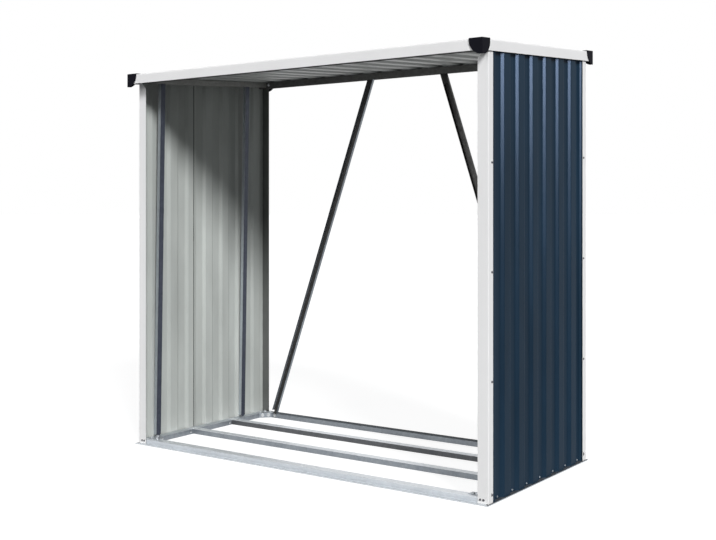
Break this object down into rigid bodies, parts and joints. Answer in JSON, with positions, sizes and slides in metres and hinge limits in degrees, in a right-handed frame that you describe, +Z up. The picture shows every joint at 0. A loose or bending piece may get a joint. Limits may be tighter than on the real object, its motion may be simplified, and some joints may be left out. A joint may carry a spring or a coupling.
{
  "type": "log store",
  "caption": "Open-fronted metal log store: ribbed sheet walls and a sloping roof on a galvanised frame, with rails that keep the firewood off the ground.",
  "frame": {"origin": "on the ground, in the middle of the store's outline", "axes": "+X along the open front, to the right for someone facing it; +Y from the open front to the back; +Z up"},
  "size_m": [1.636, 0.836, 1.5435],
  "materials": {
    "painted_sheet": "dark blue coated sheet outside, pale grey-green coat inside",
    "white_steel": "satin white coat",
    "galvanised_steel": "galvanised, dull",
    "cap_plastic": "black moulded plastic, slight sheen"
  },
  "bodies": {
    "root": {"base_front_rail": "galvanised_steel", "base_rear_rail": "galvanised_steel", "base_left_rail": "galvanised_steel", "base_right_rail": "galvanised_steel", "floor_rail_front": "galvanised_steel", "floor_rail_rear": "galvanised_steel", "foot_bracket_front_left": "galvanised_steel", "foot_bracket_front_right": "galvanised_steel", "foot_bracket_rear_left": "galvanised_steel", "foot_bracket_rear_right": "galvanised_steel", "post_front_left": "white_steel", "post_front_right": "white_steel", "post_rear_left": "white_steel", "post_rear_right": "white_steel", "wall_left_front": "painted_sheet", "wall_left_rear": "painted_sheet", "wall_right_front": "painted_sheet", "wall_right_rear": "painted_sheet", "stiffener_left_front": "galvanised_steel", "stiffener_left_rear": "galvanised_steel", "stiffener_right_front": "galvanised_steel", "stiffener_right_rear": "galvanised_steel", "roof_front_beam": "galvanised_steel", "roof_rear_beam": "galvanised_steel", "roof_left_rail": "galvanised_steel", "roof_right_rail": "galvanised_steel", "roof_sheet_left": "painted_sheet", "roof_sheet_mid_left": "painted_sheet", "roof_sheet_mid_right": "painted_sheet", "roof_sheet_right": "painted_sheet", "roof_trim_front": "white_steel", "roof_trim_rear": "white_steel", "roof_trim_left": "white_steel", "roof_trim_right": "white_steel", "corner_cap_front_left": "cap_plastic", "corner_cap_front_right": "cap_plastic", "corner_cap_rear_left": "cap_plastic", "corner_cap_rear_right": "cap_plastic", "brace_left": "galvanised_steel", "brace_right": "galvanised_steel"}
  },
  "joints": []
}
